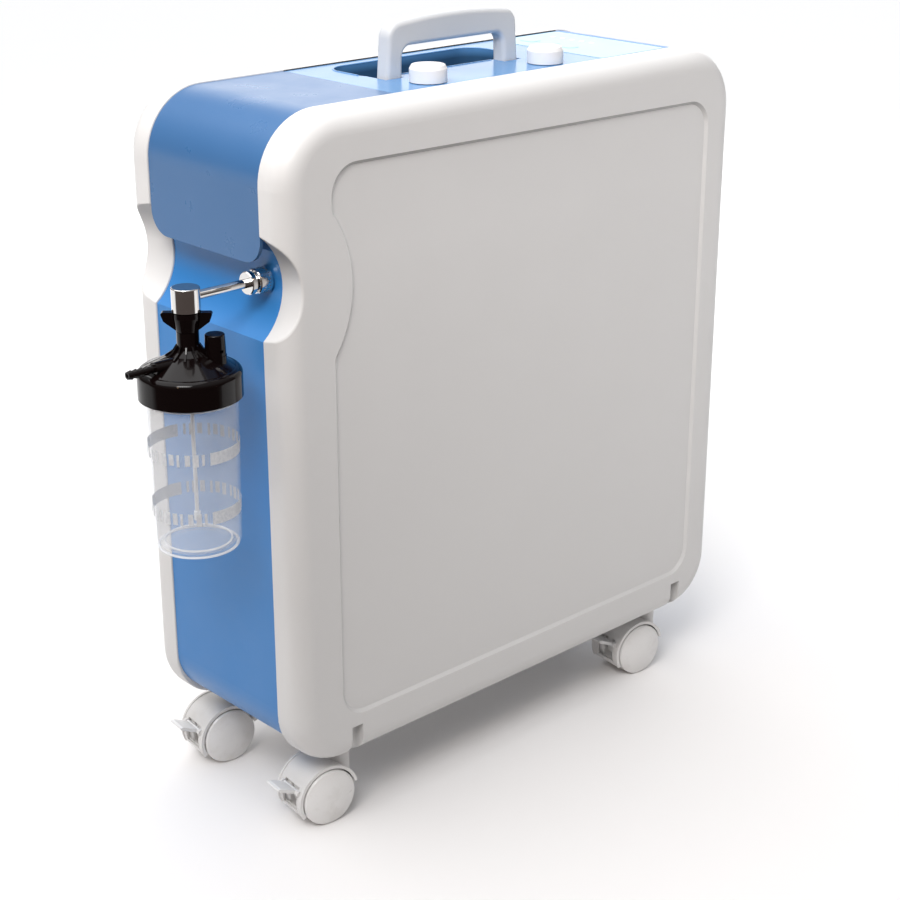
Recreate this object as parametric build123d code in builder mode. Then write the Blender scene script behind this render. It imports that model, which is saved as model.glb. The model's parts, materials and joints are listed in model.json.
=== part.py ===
from build123d import *
import os
from math import cos, radians, sin

# Oxygen concentrator on four swivel castors, in millimetres.
# +Z is up, -Y is the front with the humidifier bottle, and X runs across the casing.
# The origin is on the floor, under the middle of the whole object.

os.makedirs("parts", exist_ok=True)

# ---- casing ----
case_width = 204.0
case_length = 517.0
case_height = 543.0
ground_clearance = 64.0
band_width = 141.4  # the blue band between the two white shells
wall = 3.0
seam_gap = 0.4
edge_radius = 18.0  # rounding between a shell's side and its rim
top_corner_radius = 54.0
bottom_corner_radius = 49.0
band_recess = 1.3  # the band sits this far behind the shells' rims
rear_recess = 2.6
band_corner_radius = 46.0
band_rise = 6.6  # the blue band's underside above the shells' lower edge
tray_rise = 14.0
rim_flange = 8.0  # depth of the flange inside each shell's rim
rim_flange_thickness = 2.5
rim_rounding = 1.2
nozzle_reach = 110.0  # oxygen nozzle's tip in front of the casing

front_y = -(case_length - nozzle_reach) / 2
rear_y = front_y + case_length
half_width = case_width / 2
half_band = band_width / 2
case_top = ground_clearance + case_height
mid_z = ground_clearance + case_height / 2
plate_top = case_top - band_recess
underside = ground_clearance + tray_rise
band_bottom = ground_clearance + band_rise
band_front = front_y + band_recess
band_rear = rear_y - rear_recess
panel_half = half_band - seam_gap / 2

# ---- notch in the front edge, a round bite along X ----
notch_radius = 51.5
notch_centre = (front_y - 31.2, 476.0)
notch_edge_radius = 2.0
notch_narrowing = 0.17  # the bite's radius shrinks this much per millimetre outwards

# ---- sunk field on each side ----
field_front = front_y + 45.0
field_rear = rear_y - 35.5
field_bottom = 103.0
field_top_front = 569.0
field_top_rear = 563.0
field_corner = 25.0
field_depth = 2.4
field_taper = 50.0  # slope of the field's bevelled edge
field_notch_radius = 95.0
field_kink_radius = 9.0

# ---- seams of the blue band ----
hood_rear = front_y + 138.0
hood_bottom = 493.5
hood_corner = 20.0
plate_rear = front_y + 462.0
plate_gap = 1.2  # the top plate stops short of the left shell
panel_tuck_depth = 14.6
panel_tuck_bottom = 500.0
panel_tuck_top = 548.0
base_front = front_y + 42.0
base_rear = front_y + 475.0

# ---- handle and its pocket ----
handle_x = 11.0
handle_thickness = 15.0
handle_front = front_y + 173.0
handle_rear = front_y + 325.0
handle_mid_y = (handle_front + handle_rear) / 2
handle_top = 648.0
handle_crown = 5.0
handle_lean = 4.5
grip_lean = 1.6
leg_width = 18.0
grip_underside = 630.0
handle_pivot_z = 595.0
handle_pin_radius = 3.0
pocket_near_x = 6.5
pocket_far_x = -56.5
pocket_front = front_y + 170.0
pocket_rear = front_y + 340.0
pocket_floor = 572.0
bay_floor = 586.0
pocket_wall = 2.5
leg_clearance = 1.0

# ---- knobs and control panel ----
knob_x = 48.0
knob_ys = (front_y + 192.0, front_y + 326.0)
knob_radius = 15.4
knob_height = 13.4
spindle_radius = 3.0
running_clearance = 0.05
control_front = front_y + 378.0
control_rear = front_y + 458.0
control_half_width = 66.0
control_thickness = 0.8

# ---- outlet and humidifier ----
bottle_x = 52.0
bottle_y = front_y - 55.0
outlet_z = 477.0
tube_radius = 3.6
barrel_radius = 10.9
barrel_bottom = 466.8
barrel_top = 485.5
nut_radius = 10.0
nut_front = front_y + 7.9
nut_rear = front_y + 19.9
stub_radius = 6.9
lid_radius = 39.75
lid_bottom = 401.0
lid_shoulder = 422.0
lid_neck_base = 435.0
neck_radius = 8.5
neck_top = 451.6
wing_bottom = 452.0
wing_top = 466.4
wing_span = 39.5
wing_angle = 47.0
relief_offset = (13.7, 14.6)
relief_radius = 8.1
relief_bottom = 431.0
relief_top = 449.5
nozzle_z = 429.0
jar_bottom = 279.0
jar_top_radius = 35.8
jar_bottom_radius = 33.5
jar_wall = 1.8
jar_neck_radius = 35.2
jar_neck_top = 416.0
dip_end = 299.0

# ---- castors: 50 mm twin wheels ----
stem_x = 70.0
stem_front_y = front_y + 62.0
stem_rear_y = front_y + 457.0
wheel_radius = 25.0
caster_trail = 19.5
caster_turn = -7.0  # all four trail forwards and slightly to the left
wheel_inner_x = 4.6
wheel_outer_x = 20.2
wheel_dome = 4.4
wheel_hub_flat = 2.5
axle_radius = 3.0
hood_inner_radius = 26.4
hood_outer_radius = 28.4
hood_lip_radius = 29.2
hood_half_width = 19.0
stem_radius = 5.5
stem_bottom = 50.0
boss_radius = 11.0
boss_top = 72.0
lever_pivot_radius = 28.4
lever_pivot_angle = 160.0
lever_up_angle = 156.0
lever_half_width = 10.5

caster_centres = {
    "front_left": (-stem_x, stem_front_y),
    "front_right": (stem_x, stem_front_y),
    "rear_left": (-stem_x, stem_rear_y),
    "rear_right": (stem_x, stem_rear_y),
}

# ---- inner parts ----
sheet = 3.0
tray_top = underside + sheet
tray_half_width = 85.4
flange_x = 82.0
lug_bottom = 100.0
screw_x = 93.4
scoop_x = 96.0
lug_end = 96.2
screw_ys = (front_y + 60.0, front_y + 466.0)
bulkhead_top = 560.0
column_radius = 38.0
column_y = front_y + 360.0
fan_y = front_y + 190.0
fan_bottom = 262.0
fan_size = 120.0


def save(builder, node):
    """Label a finished piece and write its STEP file."""
    builder.part.label = node
    export_step(builder.part, f"parts/{node}.step")


def draw_rounded(side, y_span, z_span, top_radius, bottom_radius):
    """Draw a rectangle in the YZ plane with its own radius at the top and at the bottom."""
    centre = ((y_span[0] + y_span[1]) / 2, (z_span[0] + z_span[1]) / 2)
    with Locations(centre):
        Rectangle(y_span[1] - y_span[0], z_span[1] - z_span[0])
    fillet(side.vertices().group_by(Axis.Y)[-1], top_radius)
    fillet(side.vertices().group_by(Axis.Y)[0], bottom_radius)


def draw_case_outline(side, inset):
    """Draw the shells' side outline, moved inwards by inset."""
    y_span = (front_y + inset, rear_y - inset)
    z_span = (ground_clearance + inset, case_top - inset)
    draw_rounded(side, y_span, z_span, top_corner_radius - inset, bottom_corner_radius - inset)


def draw_band_outline(side, inset):
    """Draw the blue band's side outline, moved inwards by inset."""
    y_span = (band_front + inset, band_rear - inset)
    z_span = (band_bottom + inset, plate_top - inset)
    top_radius = top_corner_radius - band_recess - inset
    draw_rounded(side, y_span, z_span, top_radius, band_corner_radius - inset)


def draw_side_field(grow):
    """Draw the sunk field of a shell's side: a rounded panel that gives way to the notch."""
    with BuildSketch(Plane.XY) as field:
        Polygon(
            (field_front - grow, field_bottom - grow),
            (field_rear + grow, field_bottom - grow),
            (field_rear + grow, field_top_rear + grow),
            (field_front - grow, field_top_front + grow),
            align=None,
        )
        fillet(field.vertices(), field_corner + grow)
        with Locations(notch_centre):
            Circle(field_notch_radius - grow, mode=Mode.SUBTRACT)
        centre = Vector(notch_centre[0], notch_centre[1], 0)
        reach = field_notch_radius - grow
        kinks = field.vertices().filter_by(lambda v: abs((Vector(*v) - centre).length - reach) < 0.01)
        fillet(kinks, field_kink_radius)
    return field.sketch


def box_between(low, high, mode=Mode.ADD):
    """Add a box given by its lowest and highest corners."""
    size = [high[i] - low[i] for i in range(3)]
    middle = [(high[i] + low[i]) / 2 for i in range(3)]
    with Locations(tuple(middle)):
        Box(size[0], size[1], size[2], mode=mode)


def rod(start, direction, length, radius, mode=Mode.ADD):
    """Add a round rod that starts at a point and runs along a direction."""
    with Locations(Plane(origin=start, z_dir=direction)):
        Cylinder(radius, length, align=(Align.CENTER, Align.CENTER, Align.MIN), mode=mode)


# ================= casing =================

def notch_radius_at(x):
    """Give the notch's radius at a distance from the mid-plane."""
    return notch_radius - notch_narrowing * (x - half_band)


def is_notch_edge(edge):
    """Tell whether an edge lies on the notch's round wall, away from the shell's inner rim."""
    middle = edge.position_at(0.5)
    off_axis = Vector(0, middle.Y - notch_centre[0], middle.Z - notch_centre[1]).length
    return abs(off_axis - notch_radius_at(middle.X)) < 0.01 and middle.X > half_band + 1


field_outline = draw_side_field(0)
field_pad_outline = draw_side_field(wall)

with BuildPart() as shell_cavity:
    with BuildSketch(Plane.YZ.offset(half_band - wall)) as side:
        draw_case_outline(side, wall)
    extrude(amount=half_width - half_band)
    fillet(shell_cavity.faces().sort_by(Axis.X)[-1].edges(), edge_radius - wall)
    with BuildSketch(Plane.YZ.offset(half_band - wall)):
        with Locations(notch_centre):
            Circle(notch_radius + wall)
    extrude(amount=half_width, mode=Mode.SUBTRACT)
    with BuildSketch(Plane.YZ.offset(half_band - wall)) as rim:
        draw_case_outline(rim, 0)
        offset(rim.faces(), amount=-rim_flange, mode=Mode.SUBTRACT)
    extrude(amount=wall + rim_flange_thickness, mode=Mode.SUBTRACT)
    with BuildSketch(Plane.YZ.offset(half_width - wall - field_depth)):
        add(field_pad_outline)
    extrude(amount=half_width, mode=Mode.SUBTRACT)

with BuildPart() as screw_bosses:
    with BuildSketch(Plane.XY.offset(ground_clearance)):
        with Locations(*[(scoop_x + 2.5, y) for y in screw_ys]):
            RectangleRounded(24, 18, 4)
    extrude(amount=lug_bottom - ground_clearance)
    add(shell_cavity.part, mode=Mode.INTERSECT)

with BuildPart() as right_shell:
    with BuildSketch(Plane.YZ.offset(half_band + seam_gap / 2)) as side:
        draw_case_outline(side, 0)
    extrude(amount=half_width - half_band - seam_gap / 2)
    fillet(right_shell.faces().sort_by(Axis.X)[-1].edges(), edge_radius)
    with Locations(Plane(origin=(half_band, *notch_centre), z_dir=(1, 0, 0))):
        Cone(
            notch_radius,
            notch_radius_at(half_band + half_width),
            half_width,
            align=(Align.CENTER, Align.CENTER, Align.MIN),
            mode=Mode.SUBTRACT,
        )
    fillet(right_shell.edges().filter_by(is_notch_edge), notch_edge_radius)
    fillet(right_shell.faces().sort_by(Axis.X)[0].edges(), rim_rounding)
    with BuildSketch(Plane.YZ.offset(half_width)):
        add(field_outline)
    extrude(amount=-field_depth, taper=field_taper, mode=Mode.SUBTRACT)
    add(shell_cavity.part, mode=Mode.SUBTRACT)
    add(screw_bosses.part)
    with BuildSketch(Plane.XY.offset(ground_clearance - 1)):
        with Locations(*[(scoop_x + 5.5, y) for y in screw_ys]):
            RectangleRounded(23, 12, 3)
    extrude(amount=lug_bottom - ground_clearance - 6, mode=Mode.SUBTRACT)
    with BuildSketch(Plane.XY.offset(ground_clearance)):
        with Locations(*[(screw_x, y) for y in screw_ys]):
            Circle(2.1)
    extrude(amount=lug_bottom - ground_clearance + 1, mode=Mode.SUBTRACT)
    with BuildSketch(Plane.XY.offset(ground_clearance - 1)):
        with Locations((stem_x, stem_front_y), (stem_x, stem_rear_y)):
            Circle(14)
    extrude(amount=rim_flange + 2, mode=Mode.SUBTRACT)
save(right_shell, "right_shell")

with BuildPart() as left_shell:
    mirror(right_shell.part, about=Plane.YZ)
save(left_shell, "left_shell")

with BuildPart() as front_panel:
    with BuildSketch(Plane.YZ.offset(-panel_half)) as side:
        draw_band_outline(side, 0)
        with Locations(notch_centre):
            Circle(notch_radius + band_recess, mode=Mode.SUBTRACT)
        with Locations((front_y, panel_tuck_bottom)):
            Rectangle(
                2 * panel_tuck_depth,
                case_height,
                align=(Align.CENTER, Align.MIN),
                mode=Mode.SUBTRACT,
            )
        offset(side.faces(), amount=-wall, mode=Mode.SUBTRACT)
        with Locations((front_y, band_bottom - 1)):
            Rectangle(
                2 * (base_front - seam_gap - front_y),
                panel_tuck_top - band_bottom,
                align=(Align.CENTER, Align.MIN),
                mode=Mode.INTERSECT,
            )
    extrude(amount=2 * panel_half)
    rod((bottle_x, front_y, outlet_z), (0, 1, 0), 40, stub_radius, mode=Mode.SUBTRACT)
save(front_panel, "front_panel")

with BuildPart() as front_hood:
    with BuildSketch(Plane.YZ.offset(-panel_half)) as side:
        draw_band_outline(side, 0)
        offset(side.faces(), amount=-wall, mode=Mode.SUBTRACT)
        with Locations((hood_rear - seam_gap / 2, hood_bottom)):
            Rectangle(
                case_length,
                case_height,
                align=(Align.MAX, Align.MIN),
                mode=Mode.INTERSECT,
            )
    extrude(amount=2 * panel_half)
    fillet(front_hood.edges().filter_by(Axis.Y).group_by(Axis.Z)[0], hood_corner)
save(front_hood, "front_hood")

leg_fronts = (handle_front, handle_rear - leg_width)
pocket_mid = ((pocket_far_x + pocket_near_x) / 2, (pocket_front + pocket_rear) / 2)
pocket_size = (pocket_near_x - pocket_far_x, pocket_rear - pocket_front)
bay_near_x = handle_x + handle_thickness / 2 + leg_clearance
bay_far_x = -8.0


def draw_pocket(grow):
    """Draw the handle pocket's outline, wider by grow all round."""
    with Locations(pocket_mid):
        pocket = Rectangle(pocket_size[0] + 2 * grow, pocket_size[1] + 2 * grow)
    fillet(pocket.vertices(), 20 + grow)


def draw_bays(grow):
    """Draw the two bays that the handle's legs stand in, wider by grow all round."""
    for leg_front in leg_fronts:
        low_y = leg_front - leg_clearance - grow
        with Locations((bay_far_x, low_y)):
            Rectangle(
                bay_near_x + grow - bay_far_x,
                leg_width + 2 * (leg_clearance + grow),
                align=(Align.MIN, Align.MIN),
            )


with BuildPart() as top_plate:
    with BuildSketch(Plane.XY.offset(plate_top - wall)):
        with Locations((plate_gap / 2, hood_rear + seam_gap / 2)):
            Rectangle(
                2 * panel_half - plate_gap,
                plate_rear - hood_rear - seam_gap,
                align=(Align.CENTER, Align.MIN),
            )
    extrude(amount=wall)
    with BuildSketch(Plane.XY.offset(pocket_floor - pocket_wall)):
        draw_pocket(pocket_wall)
    extrude(amount=plate_top - wall - pocket_floor + pocket_wall)
    with BuildSketch(Plane.XY.offset(bay_floor - pocket_wall)):
        draw_bays(pocket_wall)
    extrude(amount=plate_top - wall - bay_floor + pocket_wall)
    with BuildSketch(Plane.XY.offset(pocket_floor)):
        draw_pocket(0)
    extrude(amount=case_height, mode=Mode.SUBTRACT)
    with BuildSketch(Plane.XY.offset(bay_floor)):
        draw_bays(0)
    extrude(amount=case_height, mode=Mode.SUBTRACT)
    for leg_front in leg_fronts:
        pin_start = (handle_x, leg_front - 6, handle_pivot_z)
        rod(pin_start, (0, 1, 0), leg_width + 12, handle_pin_radius, mode=Mode.SUBTRACT)
    with BuildSketch(Plane.XY.offset(plate_top)):
        with Locations(*[(knob_x, y) for y in knob_ys]):
            Circle(spindle_radius + 1)
    extrude(amount=-wall, mode=Mode.SUBTRACT)
    with BuildSketch(Plane.XY.offset(plate_top)):
        with Locations((0, (control_front + control_rear) / 2)):
            RectangleRounded(2 * control_half_width + 0.4, control_rear - control_front + 0.4, 4.2)
    extrude(amount=-control_thickness, mode=Mode.SUBTRACT)
save(top_plate, "top_plate")

with BuildPart() as control_panel:
    with BuildSketch(Plane.XY.offset(plate_top - control_thickness)):
        with Locations((0, (control_front + control_rear) / 2)):
            RectangleRounded(2 * control_half_width, control_rear - control_front, 4)
    extrude(amount=control_thickness + 0.3)
save(control_panel, "control_panel")

intake_z = 440.0
intake_half = 42.0
filter_back = front_y + 499.0
socket_z = 250.0
socket_x = 22.0
switch_x = -26.0
panel_inner_y = band_rear - wall

with BuildPart() as rear_panel:
    with BuildSketch(Plane.YZ.offset(-panel_half)) as side:
        draw_band_outline(side, 0)
        offset(side.faces(), amount=-wall, mode=Mode.SUBTRACT)
        with Locations((plate_rear + seam_gap / 2, case_top)):
            Rectangle(
                case_length,
                case_height,
                align=(Align.MIN, Align.MAX),
                mode=Mode.INTERSECT,
            )
        with Locations((base_rear + seam_gap, mid_z)):
            Rectangle(
                case_length,
                case_height,
                align=(Align.MAX, Align.MAX),
                mode=Mode.SUBTRACT,
            )
    extrude(amount=2 * panel_half)
    intake_frame = intake_half + 2
    box_between(
        (-intake_frame, filter_back - 2, intake_z - intake_frame),
        (intake_frame, panel_inner_y, intake_z + intake_frame),
    )
    box_between(
        (-intake_half, filter_back, intake_z - intake_half),
        (intake_half, rear_y, intake_z + intake_half),
        mode=Mode.SUBTRACT,
    )
    box_between(
        (-intake_half + 4, filter_back - 3, intake_z - intake_half + 4),
        (intake_half - 4, filter_back + 1, intake_z + intake_half - 4),
        mode=Mode.SUBTRACT,
    )
    with BuildSketch(Plane.XZ.offset(-rear_y)):
        with Locations((0, 155)):
            with GridLocations(0, 10, 1, 8):
                SlotOverall(96, 5)
        with Locations((socket_x, socket_z)):
            Rectangle(27.4, 20.4)
        with Locations((switch_x, socket_z)):
            Rectangle(13.4, 21.4)
    extrude(amount=20, mode=Mode.SUBTRACT)
save(rear_panel, "rear_panel")

with BuildPart() as intake_cover:
    cover_half = intake_half + 5
    box_between(
        (-cover_half, band_rear, intake_z - cover_half),
        (cover_half, band_rear + 2.2, intake_z + cover_half),
    )
    fillet(intake_cover.edges().filter_by(Axis.Y), 6)
    skirt = intake_half - 0.4
    box_between((-skirt, filter_back + 9, intake_z - skirt), (skirt, band_rear, intake_z + skirt))
    box_between(
        (-skirt + 2, filter_back + 8, intake_z - skirt + 2),
        (skirt - 2, band_rear, intake_z + skirt - 2),
        mode=Mode.SUBTRACT,
    )
    with BuildSketch(Plane.XZ.offset(-rear_y)):
        with Locations((0, intake_z)):
            with GridLocations(0, 9, 1, 8):
                SlotOverall(72, 4.5)
    extrude(amount=10, mode=Mode.SUBTRACT)
save(intake_cover, "intake_cover")

with BuildPart() as intake_filter:
    pad = intake_half - 0.4
    box_between(
        (-pad, filter_back, intake_z - pad),
        (pad, filter_back + 8, intake_z + pad),
    )
save(intake_filter, "intake_filter")

# ================= mains inlet and rocker switch =================

with BuildPart() as mains_inlet:
    box_between((socket_x - 15.5, band_rear, socket_z - 12), (socket_x + 15.5, band_rear + 2, socket_z + 12))
    fillet(mains_inlet.edges().filter_by(Axis.Y), 2)
    box_between((socket_x - 13.5, band_rear - 20, socket_z - 10), (socket_x + 13.5, band_rear, socket_z + 10))
    box_between(
        (socket_x - 11.2, band_rear - 16, socket_z - 7.7),
        (socket_x + 11.2, rear_y, socket_z + 7.7),
        mode=Mode.SUBTRACT,
    )
    for blade_x, blade_z in ((-7, -1.5), (0, 2.5), (7, -1.5)):
        box_between(
            (socket_x + blade_x - 1, band_rear - 17, socket_z + blade_z - 2),
            (socket_x + blade_x + 1, band_rear - 3, socket_z + blade_z + 2),
        )
save(mains_inlet, "mains_inlet")

rocker_pivot_y = band_rear - 5.0
rocker_radius = 8.8
rocker_tilt = 10.0

with BuildPart() as switch_frame:
    box_between((switch_x - 8, band_rear, socket_z - 12.5), (switch_x + 8, band_rear + 1.2, socket_z + 12.5))
    fillet(switch_frame.edges().filter_by(Axis.Y), 1.5)
    box_between(
        (switch_x - 6.5, band_rear - 18, socket_z - 10.5),
        (switch_x + 6.5, band_rear, socket_z + 10.5),
    )
    box_between(
        (switch_x - 5, band_rear - 15.5, socket_z - 9.1),
        (switch_x + 5, rear_y, socket_z + 9.1),
        mode=Mode.SUBTRACT,
    )
    rocker_axle = (switch_x - 6.2, rocker_pivot_y, socket_z)
    rod(rocker_axle, (1, 0, 0), 12.4, 1.5 + running_clearance, mode=Mode.SUBTRACT)
save(switch_frame, "switch_frame")

with BuildPart() as power_rocker:
    with BuildSketch(Plane.YZ.offset(switch_x - 4.6)):
        with Locations((rocker_pivot_y, socket_z)):
            Circle(rocker_radius)
            with Locations(Location((0, 0, 0), rocker_tilt)):
                Polygon((-5, -12), (7.2, -12), (5.2, 0), (7.2, 12), (-5, 12), align=None, mode=Mode.INTERSECT)
    extrude(amount=9.2)
    rod((switch_x - 6.0, rocker_pivot_y, socket_z), (1, 0, 0), 12, 1.5)
save(power_rocker, "power_rocker")

# ================= handle and knobs =================

with BuildPart() as carry_handle:
    with BuildSketch(Plane.YZ.offset(handle_x - handle_thickness / 2)) as loop:
        leg_foot = handle_pivot_z - handle_thickness / 2
        with BuildLine():
            top_front = (handle_front + handle_lean, handle_top)
            top_rear = (handle_rear - handle_lean, handle_top)
            ThreePointArc(top_front, (handle_mid_y, handle_top + handle_crown), top_rear)
            Polyline(top_rear, (handle_rear, leg_foot), (handle_front, leg_foot), top_front)
        make_face()
        fillet(loop.vertices().group_by(Axis.Y)[-1], 13)
        with BuildLine():
            Polyline(
                (handle_front + leg_width, leg_foot),
                (handle_front + leg_width + grip_lean, grip_underside),
                (handle_rear - leg_width - grip_lean, grip_underside),
                (handle_rear - leg_width, leg_foot),
                close=True,
            )
        make_face(mode=Mode.SUBTRACT)
        inner_corners = loop.vertices().filter_by(lambda v: abs(v.Y - grip_underside) < 0.01)
        fillet(inner_corners, 9)
    extrude(amount=handle_thickness)
    fillet(carry_handle.edges().filter_by(Axis.Y).group_by(Axis.Z)[0], handle_thickness / 2 - 0.2)
    long_edges = carry_handle.faces().filter_by(Axis.X).edges()
    fillet(long_edges.filter_by(lambda e: e.center().Z > handle_pivot_z + 5), 4)
    rod(
        (handle_x, handle_front - 1, handle_pivot_z),
        (0, 1, 0),
        handle_rear - handle_front + 2,
        handle_pin_radius + running_clearance,
        mode=Mode.SUBTRACT,
    )
save(carry_handle, "carry_handle")

with BuildPart() as handle_pins:
    for leg_front in leg_fronts:
        pin_reach = leg_clearance + pocket_wall
        rod(
            (handle_x, leg_front - pin_reach, handle_pivot_z),
            (0, 1, 0),
            leg_width + 2 * pin_reach,
            handle_pin_radius,
        )
save(handle_pins, "handle_pins")


def build_knob(knob_y):
    """Round flow knob with a chamfered top, a pointer groove and its own spindle."""
    knob_bottom = plate_top + 0.6
    with BuildPart() as knob:
        with BuildSketch(Plane.XY.offset(knob_bottom)):
            with Locations((knob_x, knob_y)):
                Circle(knob_radius)
        extrude(amount=knob_height)
        chamfer(knob.faces().sort_by(Axis.Z)[-1].edges(), length=3.2, length2=1.8)
        fillet(knob.edges().filter_by(GeomType.CIRCLE).group_by(Axis.Z)[-1], 0.8)
        with BuildSketch(Plane.XY.offset(knob_bottom + knob_height)):
            with Locations((knob_x, knob_y - knob_radius / 2)):
                SlotOverall(9, 1.6, rotation=90)
        extrude(amount=-0.7, mode=Mode.SUBTRACT)
        rod((knob_x, knob_y, plate_top - 30), (0, 0, 1), 31, spindle_radius)
    return knob


save(build_knob(knob_ys[0]), "front_knob")
save(build_knob(knob_ys[1]), "rear_knob")

with BuildPart() as flow_valves:
    for knob_y in knob_ys:
        valve_bottom = (knob_x, knob_y, plate_top - 36)
        rod(valve_bottom, (0, 0, 1), 30, 11)
        rod(valve_bottom, (0, 0, 1), 36 - wall, 7)
        rod(
            (knob_x, knob_y, plate_top - 31),
            (0, 0, 1),
            31,
            spindle_radius + running_clearance,
            mode=Mode.SUBTRACT,
        )
        rod((knob_x, knob_y + 10, plate_top - 20), (0, 1, 0), 12, 3)
save(flow_valves, "flow_valves")

# ================= outlet and humidifier =================

with BuildPart() as outlet_stub:
    stub_front = nut_front + 5.3
    panel_face = front_y + 22.9
    rod((bottle_x, stub_front, outlet_z), (0, 1, 0), 28.8, stub_radius - 0.05)
    rod((bottle_x, panel_face + wall + 0.3, outlet_z), (0, 1, 0), 4, 12)
    rod((bottle_x, stub_front - 1, outlet_z), (0, 1, 0), 40, 3.2, mode=Mode.SUBTRACT)
save(outlet_stub, "outlet_stub")

with BuildPart() as union_nut:
    rod((bottle_x, nut_front, outlet_z), (0, 1, 0), nut_rear - nut_front, nut_radius)
    chamfer(union_nut.edges().filter_by(GeomType.CIRCLE), 0.8)
    with BuildSketch(Plane.XZ.offset(-nut_front - 3)):
        with Locations((bottle_x, outlet_z)):
            with PolarLocations(nut_radius, 24):
                Rectangle(0.9, 1.3)
    extrude(amount=-(nut_rear - nut_front - 6), mode=Mode.SUBTRACT)
    inner_start = (bottle_x, nut_front + 2.4, outlet_z)
    rod(inner_start, (0, 1, 0), 30, stub_radius + running_clearance, mode=Mode.SUBTRACT)
    outer_start = (bottle_x, nut_front - 1, outlet_z)
    rod(outer_start, (0, 1, 0), 10, tube_radius + running_clearance, mode=Mode.SUBTRACT)
save(union_nut, "union_nut")

with BuildPart() as outlet_tube:
    tube_start = bottle_y + barrel_radius - 1.5
    rod((bottle_x, tube_start, outlet_z), (0, 1, 0), nut_front + 5.1 - tube_start, tube_radius)
    rod((bottle_x, nut_front - 7.3, outlet_z), (0, 1, 0), 5, 9.2)
    chamfer(outlet_tube.edges().filter_by(GeomType.CIRCLE).filter_by(lambda e: e.radius > 9), 0.7)
    rod((bottle_x, nut_front - 3.2, outlet_z), (0, 1, 0), 2.6, 7)
    rod((bottle_x, nut_front + 2.7, outlet_z), (0, 1, 0), 2.4, 6)
    rod((bottle_x, tube_start, outlet_z), (0, 1, 0), 80, 2.2, mode=Mode.SUBTRACT)
save(outlet_tube, "outlet_tube")

with BuildPart() as outlet_barrel:
    rod((bottle_x, bottle_y, barrel_bottom), (0, 0, 1), barrel_top - barrel_bottom, barrel_radius)
    fillet(outlet_barrel.edges().filter_by(GeomType.CIRCLE).group_by(Axis.Z)[-1], 0.9)
    chamfer(outlet_barrel.edges().filter_by(GeomType.CIRCLE).group_by(Axis.Z)[0], 0.5)
    rod((bottle_x, bottle_y, barrel_bottom - 7.5), (0, 0, 1), 8, 7.1)
    tube_hole = (bottle_x, tube_start, outlet_z)
    rod(tube_hole, (0, 1, 0), 20, tube_radius, mode=Mode.SUBTRACT)
    rod((bottle_x, bottle_y, barrel_bottom - 9), (0, 0, 1), 16, 2.4, mode=Mode.SUBTRACT)
    rod((bottle_x, bottle_y, outlet_z), (0, 1, 0), 12, 2.4, mode=Mode.SUBTRACT)
save(outlet_barrel, "outlet_barrel")

with BuildPart() as wing_nut:
    with BuildSketch(Plane.XZ.offset(-bottle_y)):
        with BuildLine():
            Polyline(
                (bottle_x, wing_bottom),
                (bottle_x + 8.6, wing_bottom),
                (bottle_x + 10.6, wing_top - 4),
                (bottle_x + 10.6, wing_top),
                (bottle_x, wing_top),
                close=True,
            )
        make_face()
    revolve(axis=Axis((bottle_x, bottle_y, 0), (0, 0, 1)))
    wing_plane = Plane(
        origin=(bottle_x, bottle_y, wing_bottom),
        x_dir=(cos(radians(wing_angle)), sin(radians(wing_angle)), 0),
        z_dir=(sin(radians(wing_angle)), -cos(radians(wing_angle)), 0),
    )
    wing_height = wing_top - wing_bottom
    with BuildSketch(wing_plane.offset(-3)) as wings:
        with BuildLine():
            Polyline(
                (-8, 0.4),
                (8, 0.4),
                (wing_span / 2 - 2.5, wing_height - 7),
                (wing_span / 2, wing_height),
                (-wing_span / 2, wing_height),
                (-wing_span / 2 + 2.5, wing_height - 7),
                close=True,
            )
        make_face()
        fillet(wings.vertices().group_by(Axis.Y)[-1], 1.6)
    extrude(amount=6)
    rod((bottle_x, bottle_y, wing_bottom + 3.5), (0, 0, 1), 20, 7.15, mode=Mode.SUBTRACT)
    rod((bottle_x, bottle_y, wing_bottom - 1), (0, 0, 1), 20, 4.35, mode=Mode.SUBTRACT)
save(wing_nut, "wing_nut")

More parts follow.
